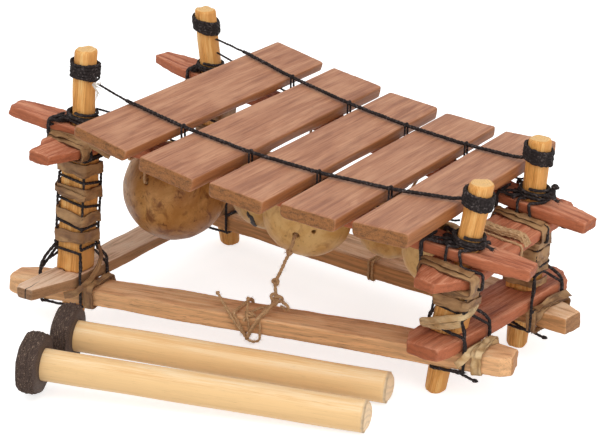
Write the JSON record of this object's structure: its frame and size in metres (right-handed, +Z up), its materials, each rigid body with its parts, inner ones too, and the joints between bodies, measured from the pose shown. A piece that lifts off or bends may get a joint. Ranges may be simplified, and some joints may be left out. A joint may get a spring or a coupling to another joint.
{
  "type": "balafon",
  "caption": "Small gourd-resonated xylophone: wooden bars hung on cords over gourds in a lashed frame of posts and rails, with a pair of rubber-headed mallets.",
  "frame": {"origin": "on the floor, under the middle of the box of the whole set, mallets included", "axes": "+X along the frame to the low treble end, +Y to the rear, +Z up"},
  "size_m": [0.3576, 0.327, 0.183],
  "materials": {
    "post_wood": "smooth pale stick, hand shaved, matt",
    "bar_wood": "reddish brown hardwood, planed, satin",
    "red_rail_wood": "reddish brown split wood, matt",
    "tan_rail_wood": "tan wood, matt",
    "grey_rail_wood": "weathered greyish wood, matt",
    "brown_gourd": "mottled gourd shell, glossy",
    "pale_gourd": "pale gourd shell, satin",
    "black_cord": "waxed black cord, rough",
    "rawhide": "dry rawhide strip, matt",
    "jute_twine": "hairy jute twine, rough",
    "stick_wood": "pale smooth wood, satin",
    "head_rubber": "ribbed rubber with fibre rows, matt"
  },
  "bodies": {
    "stand": {"lower_front_rail": "tan_rail_wood", "lower_rear_rail": "grey_rail_wood", "lower_left_crosspiece": "grey_rail_wood", "lower_right_crosspiece": "red_rail_wood", "upper_front_rail": "red_rail_wood", "upper_rear_rail": "red_rail_wood", "upper_right_crosspiece": "red_rail_wood", "upper_left_crosspiece": "red_rail_wood", "front_left_post": "post_wood", "front_right_post": "post_wood", "rear_right_post": "post_wood", "rear_left_post": "post_wood", "front_top_cord": "black_cord", "rear_top_cord": "black_cord", "front_under_cord": "black_cord", "rear_under_cord": "black_cord", "front_left_lower_lashing": "black_cord", "front_left_upper_lashing": "black_cord", "front_left_top_winding": "black_cord", "front_left_rawhide_binding": "rawhide", "front_right_lower_lashing": "black_cord", "front_right_upper_lashing": "black_cord", "front_right_top_winding": "black_cord", "front_right_rawhide_binding": "rawhide", "rear_right_lower_lashing": "black_cord", "rear_right_upper_lashing": "black_cord", "rear_right_top_winding": "black_cord", "rear_right_rawhide_binding": "rawhide", "rear_left_lower_lashing": "black_cord", "rear_left_upper_lashing": "black_cord", "rear_left_top_winding": "black_cord", "rear_left_rawhide_binding": "rawhide", "front_left_upper_strap": "rawhide", "front_right_upper_strap": "rawhide", "rear_right_upper_strap": "rawhide", "rear_left_upper_strap": "rawhide", "front_left_lower_strap": "rawhide", "front_right_lower_strap": "rawhide", "rear_right_lower_strap": "rawhide", "gourd_1_hanger": "jute_twine", "gourd_2_hanger": "jute_twine", "gourd_3_hanger": "jute_twine", "gourd_4_hanger": "jute_twine", "gourd_5_hanger": "jute_twine", "gourd_3_twine_tie": "jute_twine", "gourd_4_twine_tie": "jute_twine", "gourd_1": "brown_gourd", "gourd_2": "pale_gourd", "gourd_3": "pale_gourd", "gourd_4": "pale_gourd", "gourd_5": "pale_gourd"},
    "bar_1": {"bar_1": "bar_wood"},
    "bar_2": {"bar_2": "bar_wood"},
    "bar_3": {"bar_3": "bar_wood"},
    "bar_4": {"bar_4": "bar_wood"},
    "bar_5": {"bar_5": "bar_wood"},
    "front_mallet": {"front_mallet_stick": "stick_wood", "front_mallet_head": "head_rubber"},
    "rear_mallet": {"rear_mallet_stick": "stick_wood", "rear_mallet_head": "head_rubber"}
  },
  "joints": [
    {"name": "bar_1_give", "type": "slide", "parent": "stand", "child": "bar_1", "axis": [0, 0, 1], "range_m": [-0.001, 0.0005], "stiffness_N_per_m": 3000, "springref_m": 0.0002, "deforming": ["front_top_cord", "rear_top_cord", "front_under_cord", "rear_under_cord"]},
    {"name": "bar_2_give", "type": "slide", "parent": "stand", "child": "bar_2", "axis": [0, 0, 1], "range_m": [-0.001, 0.0005], "stiffness_N_per_m": 3000, "springref_m": 0.0002, "deforming": ["front_top_cord", "rear_top_cord", "front_under_cord", "rear_under_cord"]},
    {"name": "bar_3_give", "type": "slide", "parent": "stand", "child": "bar_3", "axis": [0, 0, 1], "range_m": [-0.001, 0.0005], "stiffness_N_per_m": 3000, "springref_m": 0.0002, "deforming": ["front_top_cord", "rear_top_cord", "front_under_cord", "rear_under_cord"]},
    {"name": "bar_4_give", "type": "slide", "parent": "stand", "child": "bar_4", "axis": [0, 0, 1], "range_m": [-0.001, 0.0005], "stiffness_N_per_m": 3000, "springref_m": 0.0002, "deforming": ["front_top_cord", "rear_top_cord", "front_under_cord", "rear_under_cord"]},
    {"name": "bar_5_give", "type": "slide", "parent": "stand", "child": "bar_5", "axis": [0, 0, 1], "range_m": [-0.001, 0.0005], "stiffness_N_per_m": 3000, "springref_m": 0.0002, "deforming": ["front_top_cord", "rear_top_cord", "front_under_cord", "rear_under_cord"]},
    {"name": "front_mallet_lift", "type": "slide", "parent": "stand", "child": "front_mallet", "axis": [0, 0, 1], "range_m": [0, 0.08]},
    {"name": "rear_mallet_lift", "type": "slide", "parent": "stand", "child": "rear_mallet", "axis": [0, 0, 1], "range_m": [0, 0.08]}
  ]
}
